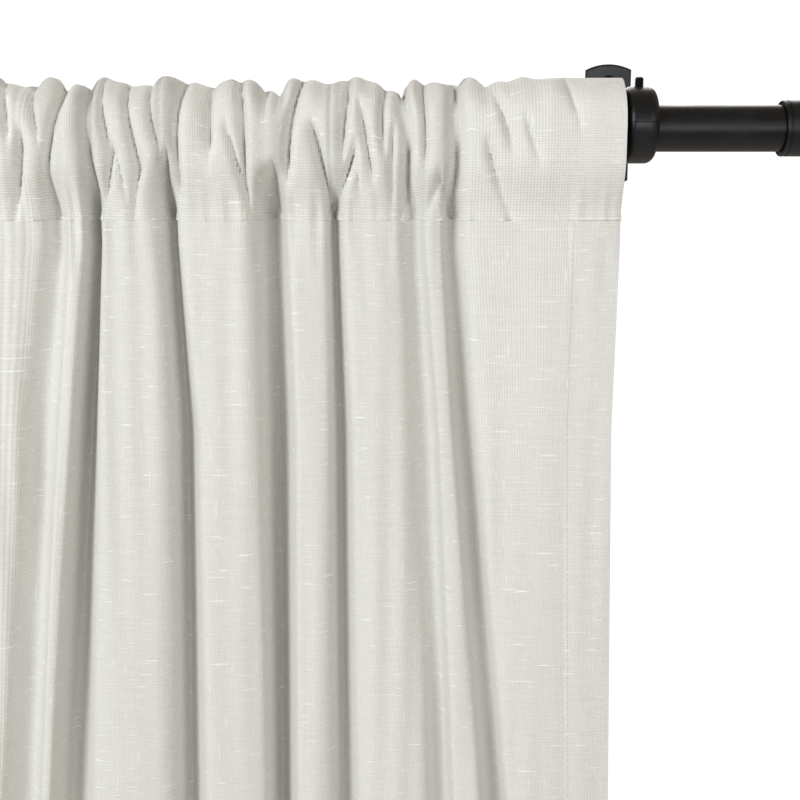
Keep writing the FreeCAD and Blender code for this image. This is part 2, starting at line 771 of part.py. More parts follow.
os.makedirs("parts", exist_ok=True)
for thing in sub_parts:
    if thing.Shape.isNull() or not thing.Shape.isValid() or thing.Shape.Volume <= 0:
        raise RuntimeError(f"{thing.Label} has no valid shape")
    thing.Shape.exportStep(f"parts/{thing.Label}.step")
    print(f"{thing.Label:22s} solids {len(thing.Shape.Solids)}  volume {thing.Shape.Volume:12.1f} mm3")
print(f"{len(sub_parts)} sub-parts")
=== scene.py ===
"""Rod-pocket linen curtains on a telescoping metal rod: the cloth, finishes, light and camera."""

import math

import bpy
import numpy as np
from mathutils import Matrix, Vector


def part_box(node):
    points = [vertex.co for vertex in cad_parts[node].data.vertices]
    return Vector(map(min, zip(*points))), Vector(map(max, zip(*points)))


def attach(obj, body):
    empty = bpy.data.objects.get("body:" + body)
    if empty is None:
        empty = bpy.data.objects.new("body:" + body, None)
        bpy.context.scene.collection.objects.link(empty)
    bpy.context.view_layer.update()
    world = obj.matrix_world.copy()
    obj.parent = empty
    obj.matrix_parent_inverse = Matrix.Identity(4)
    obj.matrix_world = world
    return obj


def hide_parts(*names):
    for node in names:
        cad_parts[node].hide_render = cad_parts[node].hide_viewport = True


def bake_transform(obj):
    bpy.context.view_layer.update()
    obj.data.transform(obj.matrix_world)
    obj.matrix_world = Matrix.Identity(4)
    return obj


bl_info = {
    "name": "Rod pocket curtains",
    "version": (1, 0, 0),
    "blender": (4, 5, 0),
    "location": "3D View > Sidebar > Curtains",
    "description": "Linen curtains in gathered folds on a black telescoping rod",
    "category": "Object",
}

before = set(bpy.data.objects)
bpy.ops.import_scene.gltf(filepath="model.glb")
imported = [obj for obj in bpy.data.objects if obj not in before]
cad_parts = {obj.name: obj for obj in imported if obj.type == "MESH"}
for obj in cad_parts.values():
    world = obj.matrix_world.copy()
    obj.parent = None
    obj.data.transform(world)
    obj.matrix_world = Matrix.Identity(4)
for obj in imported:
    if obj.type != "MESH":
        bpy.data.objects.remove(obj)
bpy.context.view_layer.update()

MM = 0.001
SIDES = ("left", "right")
TURN = 2 * math.pi

# Places read from the frame, in metres.
ROD_LOW, ROD_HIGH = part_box("outer_tube")
ROD_Y = (ROD_LOW.y + ROD_HIGH.y) / 2
ROD_Z = (ROD_LOW.z + ROD_HIGH.z) / 2
ROD_R = (ROD_HIGH.z - ROD_LOW.z) / 2
FOOT_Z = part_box("left_bottom_hem")[0].z
OUTER_X = {"left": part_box("left_outer_hem")[0].x, "right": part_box("right_outer_hem")[1].x}
LEAD_X = {"left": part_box("left_leading_hem")[1].x, "right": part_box("right_leading_hem")[0].x}
INWARD = {"left": 1, "right": -1}
RING_X = sum(corner.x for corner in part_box("right_cradle")) / 2
HEM_BODIES = {"outer": "side", "leading": "edge"}

# Heights above the rod's axis and widths of a panel, in mm.
HEADER = (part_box("left_rod_pocket")[1].z - ROD_Z) / MM
STITCH = (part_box("left_rod_pocket")[0].z - ROD_Z) / MM
HEM = (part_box("left_bottom_hem")[1].z - ROD_Z) / MM
FOOT = (FOOT_Z - ROD_Z) / MM
SPAN = abs(LEAD_X["left"] - OUTER_X["left"]) / MM
SIDE_HEM = 25.0

# The outermost pleats of the right panel, from its outer edge inwards. Each has its outer shoulder, its
# inner shoulder and the valley after it, in mm from the edge, at the stitch line, at 165 mm and at 410 mm
# below the rod. The last number is how deep that valley is, from 0, hardly a crease, to 1, full.
PLEAT_HEIGHTS = (-60.0, -165.0, -410.0)
RIGHT_PLEATS = [
    ((0, 85, 92), (2, 77, 83), (-4, 55, 60), 0.42),
    ((96, 106, 112), (89, 98, 104), (68, 87, 94), 0.3),
    ((118, 151, 155), (112, 146, 153), (100, 144, 153), 0.62),
    ((158, 180, 189), (157, 177, 189), (158, 180, 191), 1.0),
    ((197, 239, 244), (196, 231, 241), (197, 234, 247), 0.8),
    ((248, 281, 284), (245, 287, 296), (251, 302, 320), 0.8),
    ((289, 298, 306), (300, 309, 320), (326, 333, 345), 0.3),
]
LEFT_PLEATS = [
    ((0, 48, 56), (1, 50, 60), (-5, 44, 57), 0.8),
    ((62, 96, 103), (66, 100, 108), (63, 104, 114), 0.6),
]

# The creases in the right panel's pocket: the upper end, the lower end (mm from the outer edge, mm above
# the rod's centre line), the depth in mm, and how far the header's edge dips at the upper end.
RIGHT_CREASES = [
    ((88, 27), (92, -60), 6.0, 4),
    ((118, 25), (112, -60), 6.0, 12),
    ((164, 0), (155, -60), 4.5, 0),
    ((144, -10), (155, -50), 3.5, 0),
    ((185, -22), (189, -60), 6.5, 0),
    ((243, -14), (244, -60), 6.0, 0),
    ((285, 26), (280, -60), 5.0, 6),
    ((298, 24), (306, -25), 4.0, 6),
    ((306, -25), (303, -60), 4.0, 0),
    ((278, 23), (272, -8), 3.0, 1),
    ((264, 26), (259, -22), 3.2, 2),
    ((252, 24), (247, -10), 3.0, 4),
    ((255, -16), (262, -48), 2.5, 0),
    ((271, -10), (279, -42), 2.5, 0),
    ((271, -10), (267, -36), 2.0, 0),
    ((234, 24), (238, -36), 3.6, 3),
    ((219, 27), (221, -10), 3.6, 3),
    ((205, 26), (199, -42), 4.2, 4),
    ((212, 0), (201, -32), 2.2, 0),
    ((192, 24), (191, 12), 3.0, 5),
    ((184, 27), (181, 16), 3.0, 7),
    ((171, 27), (180, -27), 4.0, 2),
    ((147, 24), (148, -12), 3.4, 3),
    ((142, 14), (132, -26), 2.6, 0),
    ((127, 20), (127, -10), 3.0, 3),
    ((141, -18), (140, -36), 1.8, 0),
    ((123, 0), (122, -38), 2.0, 0),
    ((106, 23), (107, -17), 3.0, 3),
    ((97, -26), (107, -48), 2.6, 0),
    ((97, -26), (94, -42), 2.2, 0),
    ((73, 24), (60, -8), 2.2, 3),
    ((73, -8), (55, -58), 2.4, 0),
    ((52, 6), (45, -14), 1.6, 0),
    ((30, 24), (26, 4), 1.4, 0),
    ((331, 24), (327, -2), 3.0, 3),
    ((314, 20), (311, -2), 3.0, 4),
    ((320, -2), (325, -50), 3.5, 0),
]


# ---------------------------------------------------------------- sizes and colours a user may change


class CurtainCloth(bpy.types.PropertyGroup):
    fold_depth: bpy.props.FloatProperty(
        name="Fold depth", description="How far a full fold stands in front of the rod's axis",
        default=0.0195, min=0.005, max=0.03, unit="LENGTH",
    )
    valley_depth: bpy.props.FloatProperty(
        name="Valley depth", description="How far a valley lies behind the rod's axis",
        default=0.023, min=0.005, max=0.04, unit="LENGTH",
    )
    layer: bpy.props.FloatProperty(
        name="Cloth thickness", description="Thickness of one layer of linen",
        default=0.0009, min=0.0004, max=0.003, unit="LENGTH",
    )
    hem_layers: bpy.props.IntProperty(
        name="Hem layers", description="Layers of cloth in a turned hem", default=3, min=2, max=4,
    )
    colour: bpy.props.FloatVectorProperty(
        name="Linen", description="Colour of the linen", default=(0.834, 0.818, 0.783), subtype="COLOR",
        min=0, max=1,
    )
    slub_colour: bpy.props.FloatVectorProperty(
        name="Slubs", description="Colour of the thick places in the yarn", default=(0.96, 0.957, 0.94),
        subtype="COLOR", min=0, max=1,
    )


class CurtainMetal(bpy.types.PropertyGroup):
    colour: bpy.props.FloatVectorProperty(
        name="Powder coat", description="Colour of the rod's and brackets' coating",
        default=(0.003, 0.0031, 0.0042), subtype="COLOR", min=0, max=1,
    )
    gloss: bpy.props.FloatProperty(
        name="Roughness", description="Roughness of the coating", default=0.36, min=0.05, max=1,
        subtype="FACTOR",
    )


class CurtainStage(bpy.types.PropertyGroup):
    camera_side: bpy.props.FloatProperty(
        name="Camera inside of the bracket", description="Camera's distance from the right bracket",
        default=0.1287, unit="LENGTH",
    )
    camera_distance: bpy.props.FloatProperty(
        name="Camera in front of the rod", description="Camera's distance from the rod's axis",
        default=0.7198, unit="LENGTH",
    )
    camera_pitch: bpy.props.FloatProperty(
        name="Camera looks down by", description="Angle below level", default=math.radians(11.8),
        subtype="ANGLE",
    )
    lens: bpy.props.FloatProperty(
        name="Lens", description="Focal length on a 36 mm sensor, in mm", default=58.5, min=10,
    )
    floor: bpy.props.FloatProperty(
        name="Floor below the hem", description="Gap between the curtains' feet and the floor",
        default=0.06, unit="LENGTH",
    )


# ---------------------------------------------------------------- node helpers


def add_node(tree, kind, inputs=None, **settings):
    """A new node with the given settings; each input is set to a value or linked to an output."""
    node = tree.nodes.new(kind)
    for key, value in settings.items():
        setattr(node, key, value)
    for key, value in (inputs or {}).items():
        if isinstance(value, bpy.types.NodeSocket):
            tree.links.new(value, node.inputs[key])
        else:
            node.inputs[key].default_value = value
    return node


class Nodes:
    """A material's node tree, with short calls for the nodes used here."""

    def __init__(self, name):
        self.material = bpy.data.materials.new(name)
        self.material.use_nodes = True
        self.tree = self.material.node_tree
        self.shader = self.tree.nodes["Principled BSDF"]

    def add(self, kind, inputs=None, **settings):
        return add_node(self.tree, kind, inputs, **settings)

    def link(self, source, target):
        self.tree.links.new(source, target)

    def coordinates(self, output, scale=(1.0, 1.0, 1.0)):
        source = self.add("ShaderNodeTexCoord").outputs[output]
        return self.add("ShaderNodeMapping", {"Vector": source, "Scale": scale}).outputs["Vector"]

    def noise(self, vector, scale=1.0, detail=2.0, roughness=0.5, distortion=0.0):
        inputs = {
            "Vector": vector, "Scale": scale, "Detail": detail, "Roughness": roughness,
            "Distortion": distortion,
        }
        return self.add("ShaderNodeTexNoise", inputs).outputs["Fac"]

    def waves(self, vector, direction, scale, distortion, detail_scale=1.0):
        inputs = {"Vector": vector, "Scale": scale, "Distortion": distortion, "Detail Scale": detail_scale}
        node = self.add("ShaderNodeTexWave", inputs, wave_type="BANDS", bands_direction=direction)
        return node.outputs["Fac"]

    def math(self, operation, a, b):
        return self.add("ShaderNodeMath", {0: a, 1: b}, operation=operation).outputs[0]

    def ramp(self, factor, low, high, low_value=0.0, high_value=1.0):
        inputs = {
            "Value": factor, "From Min": low, "From Max": high, "To Min": low_value, "To Max": high_value,
        }
        return self.add("ShaderNodeMapRange", inputs).outputs["Result"]

    def mix_colour(self, factor, a, b):
        return self.add("ShaderNodeMix", {0: factor, 6: a, 7: b}, data_type="RGBA").outputs[2]

    def bump(self, height, distance, strength):
        inputs = {"Height": height, "Distance": distance, "Strength": strength}
        self.link(self.add("ShaderNodeBump", inputs).outputs["Normal"], self.shader.inputs["Normal"])

    def colour(self, output):
        self.link(output, self.shader.inputs["Base Color"])

    def roughness(self, output):
        self.link(output, self.shader.inputs["Roughness"])

    def set(self, **values):
        for key, value in values.items():
            self.shader.inputs[key.replace("_", " ")].default_value = value


def opaque(colour):
    return (*colour, 1.0)


def linen_material():
    """Plain-weave linen in a warm off-white, with uneven yarns and slubs. The UV map is in cm of cloth."""
    cloth = bpy.context.scene.curtain_cloth
    n = Nodes("linen_cloth_weave")
    n.set(Roughness=0.88, Sheen_Weight=0.25, Sheen_Roughness=0.45, Specular_IOR_Level=0.18)
    cm = n.coordinates("UV")
    warp = n.waves(cm, "X", scale=3.3, distortion=1.8, detail_scale=3.0)
    weft = n.waves(cm, "Y", scale=3.05, distortion=1.8, detail_scale=3.0)
    warp_yarn = n.noise(n.coordinates("UV", (9.0, 0.7, 1.0)), detail=2.0)
    weft_yarn = n.noise(n.coordinates("UV", (0.5, 8.5, 1.0)), detail=3.0)
    long_spots = n.noise(n.coordinates("UV", (0.75, 7.0, 1.0)), detail=1.0, roughness=0.4)
    tall_spots = n.noise(n.coordinates("UV", (8.0, 0.55, 1.0)), detail=1.0, roughness=0.4)
    slubs = n.math("MULTIPLY", n.ramp(long_spots, low=0.665, high=0.735), 0.8)
    warp_slubs = n.math("MULTIPLY", n.ramp(tall_spots, low=0.69, high=0.76), 0.5)
    thick = n.math("MAXIMUM", slubs, warp_slubs)
    grain = n.noise(cm, scale=26.0)
    tone = n.math("ADD", n.math("MULTIPLY", warp_yarn, 0.4), n.math("MULTIPLY", weft_yarn, 0.6))
    gap = opaque(tuple(c * 0.78 for c in cloth.colour))
    thin = opaque(tuple(c * 0.92 for c in cloth.colour))
    yarn = n.mix_colour(n.ramp(tone, low=0.38, high=0.6), thin, opaque(cloth.colour))
    threads = n.math("MULTIPLY", n.math("ADD", warp, weft), 0.5)
    weave = n.mix_colour(n.ramp(threads, low=0.1, high=0.62), gap, yarn)
    n.colour(n.mix_colour(thick, weave, opaque(cloth.slub_colour)))
    height = threads
    for layer, share in ((weft_yarn, 0.7), (warp_yarn, 0.4), (thick, 0.9), (grain, 0.25)):
        height = n.math("ADD", height, n.math("MULTIPLY", layer, share))
    n.bump(height, distance=0.00022, strength=0.8)
    return n.material


def thread_material():
    """Cotton sewing thread in the cloth's colour, with its twist."""
    cloth = bpy.context.scene.curtain_cloth
    n = Nodes("sewing_thread")
    n.set(Roughness=0.6, Sheen_Weight=0.3)
    twist = n.waves(n.coordinates("Object"), "DIAGONAL", scale=900.0, distortion=0.5)
    light = opaque(tuple(min(1.0, c * 1.06) for c in cloth.colour))
    dark = opaque(tuple(c * 0.88 for c in cloth.colour))
    n.colour(n.mix_colour(twist, dark, light))
    n.bump(twist, distance=0.0001, strength=0.6)
    return n.material


def powder_coat_material():
    """Satin black powder coat: a fine orange-peel skin with faint dust and handling marks."""
    metal = bpy.context.scene.curtain_metal
    n = Nodes("black_powder_coat")
    n.set(Metallic=0.0, Specular_IOR_Level=0.34, Coat_Weight=0.06, Coat_Roughness=0.3)
    at = n.coordinates("Object")
    wear = n.noise(at, scale=60.0, detail=5.0, roughness=0.6)
    worn = opaque(tuple(c * 2.2 + 0.002 for c in metal.colour))
    n.colour(n.mix_colour(n.ramp(wear, low=0.45, high=0.8), opaque(metal.colour), worn))
    smooth, dull = metal.gloss - 0.05, metal.gloss + 0.08
    n.roughness(n.ramp(wear, low=0.3, high=0.7, low_value=smooth, high_value=dull))
    n.bump(n.noise(at, scale=1400.0, roughness=0.55), distance=0.00008, strength=0.5)
    return n.material


def zinc_material():
    """Zinc-plated steel with a soft crystalline bloom."""
    n = Nodes("zinc_plated_steel")
    n.set(Metallic=1.0)
    at = n.coordinates("Object")
    bloom = n.noise(at, scale=260.0, detail=4.0, roughness=0.6)
    n.colour(n.mix_colour(bloom, (0.42, 0.43, 0.45, 1), (0.66, 0.66, 0.64, 1)))
    n.roughness(n.ramp(bloom, low=0.3, high=0.7, low_value=0.28, high_value=0.5))
    n.bump(n.noise(at, scale=1800.0), distance=0.00004, strength=0.4)
    return n.material


def nylon_material():
    """Black moulded nylon with faint flow marks."""
    n = Nodes("black_nylon_moulding")
    n.set(Specular_IOR_Level=0.4)
    at = n.coordinates("Object")
    flow = n.noise(at, scale=120.0, detail=3.0, distortion=0.6)
    n.colour(n.mix_colour(flow, (0.012, 0.012, 0.013, 1), (0.03, 0.03, 0.031, 1)))
    n.roughness(n.ramp(flow, low=0.3, high=0.7, low_value=0.48, high_value=0.62))
    n.bump(n.noise(at, scale=900.0), distance=0.00005, strength=0.5)
    return n.material


def finish_node(name, material):
    """Puts one material on every slot of a CAD node."""
    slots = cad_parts[name].data.materials
    if not slots:
        slots.append(material)
    for index in range(len(slots)):
        slots[index] = material


# ---------------------------------------------------------------- the drape of one panel


def smooth_step(x, low, high):
    """Rises smoothly from 0 at low to 1 at high, or falls where low is the larger."""
    t = np.clip((np.asarray(x, float) - low) / (high - low), 0, 1)
    return t * t * (3 - 2 * t)


def at_least(least, share):
    """A share from 0 to 1, squeezed so that it starts at least."""
    return least + (1 - least) * share


class Ripple:
    """A smooth, seeded, wandering height over one or two directions, about -1 to 1."""

    def __init__(self, random, waves, across, down=0.0):
        self.across = TURN / across * (0.6 + 0.9 * random.random(waves))
        self.down = (TURN / down * (random.random(waves) * 2 - 1)) if down else np.zeros(waves)
        self.phase = TURN * random.random(waves)

    def __call__(self, x, z=0.0):
        x, z = np.broadcast_arrays(np.asarray(x, float), np.asarray(z, float))
        total = np.zeros(x.shape)
        for across, down, phase in zip(self.across, self.down, self.phase):
            total += np.sin(across * x + down * z + phase)
        return total / math.sqrt(len(self.phase))


def spline_matrix(count, steps):
    """Weights that turn a row of control values into a cubic B-spline's samples, with its ends held."""
    rows = []
    for segment in range(count - 1):
        for step in range(steps + (segment == count - 2)):
            t = step / steps
            row = np.zeros(count + 2)
            row[segment : segment + 4] = (
                (1 - t) ** 3 / 6,
                (3 * t**3 - 6 * t**2 + 4) / 6,
                (-3 * t**3 + 3 * t**2 + 3 * t + 1) / 6,
                t**3 / 6,
            )
            rows.append(row)
    rows = np.array(rows)
    rows[:, 1:3] += np.outer(rows[:, 0], (2, -1))
    rows[:, -3:-1] += np.outer(rows[:, -1], (-1, 2))
    return rows[:, 1:-1]


# A pleat's control points from its outer shoulder to its valley: where each is between the two shoulders
# (0 to 1) or between the inner shoulder and the valley (1 to 2), and how far forward, from -1 to 1.
PLEAT_POINTS = [
    (-0.3, 0.0), (0.0, 0.74), (0.16, 0.97), (0.5, 1.0), (0.84, 1.0), (1.0, 0.92), (1.3, 0.2), (2.0, -1.0),
]
OUTER_HEM_POINTS = [(0.0, 0.84), (0.5, 0.92), (1.0, 0.97)]
LEAD_HEM_POINTS = [(0.0, 0.8), (0.5, 0.62), (1.0, 0.4)]
LEAD_DRAW = (2.0, 3.0, 6.0)
FALLS = [-height for height in PLEAT_HEIGHTS]
STEPS = 4
COLUMN_STEP = 1.1

# Pleats added past those listed: ranges in mm, how much of its drift a pleat has at each of the three
# heights, how much wider its gap and valley grow, and the range of its valley's depth.
PLEAT_GAP = (4, 8)
PLEAT_WIDTH = (22, 50)
PLEAT_REST = (4, 9)
PLEAT_DRIFT = (-9, 9)
DRIFT_SHARES = (0.0, 0.35, 1.0)
DRIFT_ROOM = 200
GAP_GROWTH = 0.25
REST_GROWTH = 0.5
ADDED_DEPTH = (0.55, 1.15)
NARROWEST_FACE = 8
LAST_PLEAT_ROOM = 62
LEAST_ROOM_LEFT = 34
ROOM_KEPT = 40

# Creases added over the pleats' valleys, and the short ones added between them: heights and ranges in mm.
VALLEY_LEAN = (-8, 8)
VALLEY_TOPS = [26.0, 24.0, -10.0, -18.0]
VALLEY_DIP = (3, 8)
VALLEY_CREASE = (4.5, 6.5)
VALLEY_CLEAR = 4
VALLEY_FROM_LEAD = 8
PAST_STITCH = 10
SHORT_FIRST = 12
SHORT_FROM_LEAD = 14
SHORT_LEAN = (-7, 7)
SHORT_TOPS = [26.0, 25.0, 14.0, -6.0]
SHORT_LENGTH = (22, 58)
SHORT_DIP = (0, 5)
SHORT_CREASE = (1.8, 4.0)
SHORT_APART = (9, 22)
DIPS_ABOVE = 20

# The pleats' section: how far below the rod it turns round and deep, how far pleats sway and their crowns
# swell, and the forward share below which a point belongs to the valley.
ROUND_FALLS = (300, 1400)
ROUNDING = 0.16
DEEP_FALLS = (420, 1500)
SWAY = 6.0
CROWN_SWELL = 0.16
CROWN_AT_TOP = 0.35
VALLEY_SHARE = 0.6

# The hanging cloth: its fullness at the stitch line, where it is full, and its ripples, in mm.
STITCH_FULLNESS = 0.78
FULL_FALL = 190
SOFT_RIPPLE = 1.3
SOFT_FROM, SOFT_FULL = 4, 60
FINE_RIPPLE = 0.45
PUCKER = 0.9
PUCKER_REACH = 45

# A crease's section: how it wanders, how it fades at its ends, and its reach to the inner side and to the
# outer side, which is wider on the flat cloth near the outer edge. Distances in mm.
CREASE_DEPTH = 2.6
CREASE_WANDER = 1.3
CREASE_WAVE = 13.0
OPEN_TOP = 19
TOP_FADE = 8
LOW_FADE = 9
INNER_REACH = 1.7
OUTER_REACH = 0.95
EDGE_WIDENING = 1.55
EDGE_ZONE = (-105, -70)
REACH_BASE = 0.7
REACH_GROWTH = 0.22
CREASE_SHARPNESS = 1.05

# The header's top edge, in mm: its mean height under the highest, its swells, and its dips at creases.
HEADER_FALL = 2.4
END_RISE = 1.0
OUTER_CALM = (30, 60)
LEAD_CALM = (20, 40)
HEADER_SWELL = 2.6
SWELL_SQUEEZE = 1.7
HEADER_FRILL = 0.7
DIP_WIDTH = 3.6
DIP_SHARPNESS = 1.4

# The pocket's tube, in mm: how soon it rounds out over the stitch line, its section around the rod, and
# its ripples, which are calmer at the two ends.
ROUND_OUT = 34
TUBE_EDGE = 0.3
TUBE_EASE = 9.5
TUBE_HEIGHT_POWER = 2.1
TUBE_ROUND_POWER = 0.62
ENDS_CALM = (14, 40)
LEAN_SOFT = 1.1
LEAN_FINE = 0.3
LEAN_AT_ENDS = 0.4
FRILL = 2.8
FRILL_HEIGHTS = (8, 26)
FRILL_SQUEEZE = 1.9
FRILL_SHIFT = 400
FRILL_AT_ENDS = 0.3
GROOVE_AT_STITCH = 0.3
BACK_EASE = 1.1
BACK_LEAN = 0.6
BACK_GATHER = 4.6
BACK_CLOSE = 10
FACES_APART = 0.2
ROD_CLEARANCE = 1.7

# Stitches, in metres; the rings are where along a stitch its section is and how thick it is there. The
# inset, in mm, is how far a row keeps from the edge that it holds.
STITCH_LENGTH = 2.8 * MM
STITCH_GAP = 0.9 * MM
THREAD_R = 0.28 * MM
THREAD_LIFT = 0.35
THREAD_SIDES = 4
STITCH_RINGS = [(0.0, 0.35), (0.15, 0.85), (0.5, 1.0), (0.85, 0.85), (1.0, 0.35)]
STITCH_INSET = 2.0


class Panel:
    """One curtain panel's folds. Distances are in mm: e is inwards from the panel's outer edge, d is in
    front of the rod's axis and h is above it."""

    def __init__(self, side, pleats, creases, seed):
        self.side = side
        self.random = np.random.default_rng(seed)
        self.pleats = self.fill_pleats(pleats)
        self.creases = self.fill_creases(creases)
        self.soft = Ripple(self.random, waves=5, across=70.0, down=900.0)
        self.fine = Ripple(self.random, waves=7, across=17.0, down=160.0)
        self.pucker = Ripple(self.random, waves=6, across=9.0, down=90.0)
        self.tight = Ripple(self.random, waves=4, across=14.0, down=300.0)
        self.sway = [Ripple(self.random, waves=3, across=1900.0) for _ in self.pleats]
        self.crown = [Ripple(self.random, waves=3, across=700.0) for _ in self.pleats]
        self.weights = spline_matrix(len(self.controls([STITCH])[0]), STEPS)

    def fill_pleats(self, given):
        """Adds pleats of varied width until the span is full; the last one ends at the leading edge."""
        pleats = [np.array(p[:3], float) for p in given]
        self.depths = [p[3] for p in given]
        while True:
            start = pleats[-1][:, 2]
            room = SPAN - start[0]
            gap = self.random.uniform(*PLEAT_GAP)
            width = self.random.uniform(*PLEAT_WIDTH)
            rest = self.random.uniform(*PLEAT_REST)
            if room < LAST_PLEAT_ROOM:
                last = [[first + gap, SPAN - draw, SPAN] for first, draw in zip(start, LEAD_DRAW)]
                pleats.append(np.array(last))
                self.depths.append(1.0)
                return pleats
            if room - (gap + width + rest) < LEAST_ROOM_LEFT:
                width = room - gap - rest - ROOM_KEPT
            drift = self.random.uniform(*PLEAT_DRIFT)
            near_end = min(1.0, room / DRIFT_ROOM)
            pleat = []
            for above, share in zip(start, DRIFT_SHARES):
                first = above + gap * (1 + GAP_GROWTH * share)
                second = max(start[0] + gap + width + drift * share * near_end, first + NARROWEST_FACE)
                pleat.append((first, second, second + rest * (1 + REST_GROWTH * share)))
            pleats.append(np.array(pleat))
            self.depths.append(self.random.uniform(*ADDED_DEPTH))

    def fill_creases(self, given):
        """Adds creases to the pocket wherever the list gives none, about one every 16 mm."""
        creases = list(given)
        reach = max([top[0] for top, _, _, _ in creases], default=0.0)
        for pleat in self.pleats:
            valley = pleat[0][2]
            if valley < reach + VALLEY_CLEAR or valley > SPAN - VALLEY_FROM_LEAD:
                continue
            lean = self.random.uniform(*VALLEY_LEAN)
            high = self.random.choice(VALLEY_TOPS)
            dip = self.random.uniform(*VALLEY_DIP) if high > 0 else 0
            depth = self.random.uniform(*VALLEY_CREASE)
            creases.append(((valley + lean, high), (valley, STITCH - PAST_STITCH), depth, dip))
        e = reach + SHORT_FIRST
        while e < SPAN - SHORT_FROM_LEAD:
            lean = self.random.uniform(*SHORT_LEAN)
            high = self.random.choice(SHORT_TOPS)
            low = max(high - self.random.uniform(*SHORT_LENGTH), STITCH)
            dip = self.random.uniform(*SHORT_DIP) if high > DIPS_ABOVE else 0
            depth = self.random.uniform(*SHORT_CREASE)
            creases.append(((e, high), (e + lean, low), depth, dip))
            e += self.random.uniform(*SHORT_APART)
        return creases

    def controls(self, h):
        """Control points of the cloth's section at heights h: e (mm) and forward share (-1 to 1)."""
        h = np.asarray(h, float)
        places, shares = [], []
        roundness = smooth_step(-h, *ROUND_FALLS)
        deep = smooth_step(-h, *DEEP_FALLS)
        lead = SPAN - np.interp(-h, FALLS, LEAD_DRAW) - SIDE_HEM
        final = len(self.pleats) - 1
        before = None
        for index, pleat in enumerate(self.pleats):
            outer, inner, valley = (np.interp(-h, FALLS, pleat[:, k]) for k in range(3))
            sway = SWAY * deep * self.sway[index](h)
            ridge = 1 + CROWN_SWELL * self.crown[index](h) * at_least(CROWN_AT_TOP, deep)
            points = []
            if index == 0:
                points = [(outer + SIDE_HEM * share, forward) for share, forward in OUTER_HEM_POINTS]
                inner, valley = inner + sway, valley + sway
            elif index == final:
                outer = outer + sway
            else:
                outer, inner, valley = outer + sway, inner + sway, valley + sway
            for share, forward in PLEAT_POINTS:
                if index == 0 and share < 0.5 or index == final and share > 0.8:
                    continue
                if share < 0:
                    e = outer + (before - outer) * -share
                elif share <= 1:
                    start = outer + SIDE_HEM if index == 0 else outer
                    end = lead if index == final else inner
                    e = start + (end - start) * share
                    if 0 < index < final:
                        e = e - (e - (outer + inner) / 2) * ROUNDING * roundness
                else:
                    e = inner + (valley - inner) * (share - 1)
                if forward < VALLEY_SHARE:
                    depth = self.depths[index - 1 if share < 0 and index else index]
                    forward = VALLEY_SHARE + (forward - VALLEY_SHARE) * depth
                else:
                    forward = forward * ridge
                points.append((e, forward))
            if index == final:
                points += [(lead + SIDE_HEM * share, forward) for share, forward in LEAD_HEM_POINTS]
            before = valley
            places += [np.broadcast_to(e, h.shape) for e, _ in points]
            shares += [np.broadcast_to(forward, h.shape) for _, forward in points]
        return np.array(places), np.array(shares)

    def drop(self, h):
        """The hanging cloth at heights h, one row for each: e and d."""
        cloth = bpy.context.scene.curtain_cloth
        e, share = self.controls(h)
        e, share = self.weights @ e, self.weights @ share
        h = np.asarray(h, float)
        grown = at_least(STITCH_FULLNESS, smooth_step(-h, -STITCH, FULL_FALL))
        front, back = cloth.fold_depth / MM, cloth.valley_depth / MM
        d = np.where(share > 0, share * front, share * back) * grown
        lively = smooth_step(-h, -STITCH + SOFT_FROM, -STITCH + SOFT_FULL)
        sewn = 1 - smooth_step(-h, -STITCH, -STITCH + PUCKER_REACH)
        d = d + SOFT_RIPPLE * self.soft(e, h) * lively + FINE_RIPPLE * self.fine(e, h)
        d = d + PUCKER * self.pucker(e, h) * sewn
        return e.T, d.T

    def crease(self, e, h):
        """How far creases push the pocket's face back at (e, h), in mm."""
        total = np.zeros(np.broadcast(e, h).shape)
        outer_reach = OUTER_REACH + EDGE_WIDENING * smooth_step(-e, *EDGE_ZONE)
        for (e_top, h_top), (e_low, h_low), depth, _ in self.creases:
            along = np.clip((h_top - h) / (h_top - h_low), 0, 1)
            line = e_top + (e_low - e_top) * along + CREASE_WANDER * np.sin(h / CREASE_WAVE + e_top)
            fade_top = 1.0 if h_top > OPEN_TOP else smooth_step(h, h_top + TOP_FADE, h_top - TOP_FADE)
            fade_low = 1.0 if h_low <= STITCH else smooth_step(h, h_low - LOW_FADE, h_low + LOW_FADE)
            reach = np.where(e > line, INNER_REACH, outer_reach) * (REACH_BASE + REACH_GROWTH * depth)
            off = np.abs(e - line) / reach
            total += depth * np.exp(-(off**CREASE_SHARPNESS)) * fade_top * fade_low
        return total

    def header_top(self, e):
        """The header's height over the rod's axis at e, in mm: it dips at each crease that reaches it."""
        calm = smooth_step(e, *OUTER_CALM) * smooth_step(SPAN - e, *LEAD_CALM)
        swell = HEADER_SWELL * self.soft(e * SWELL_SQUEEZE, 0) + HEADER_FRILL * self.fine(e, 0)
        top = HEADER - HEADER_FALL + END_RISE * (1 - calm) + swell * calm
        for (e_top, _), _, _, dip in self.creases:
            if dip:
                top = top - dip * np.exp(-np.abs((e - e_top) / DIP_WIDTH) ** DIP_SHARPNESS)
        return top

    def pocket_columns(self, part):
        """Evenly spaced columns along the stitch line for one part: e, d and the cloth's length."""
        e, d = (values[0] for values in self.drop([STITCH]))
        marks = np.cumsum([0, *np.hypot(np.diff(e), np.diff(d))])
        first, last = self.columns()[part]
        count = max(2, round((marks[last] - marks[first]) / COLUMN_STEP)) + 1
        at = np.linspace(marks[first], marks[last], count)
        return np.interp(at, marks, e), np.interp(at, marks, d), np.interp(at, marks, self.lengths())

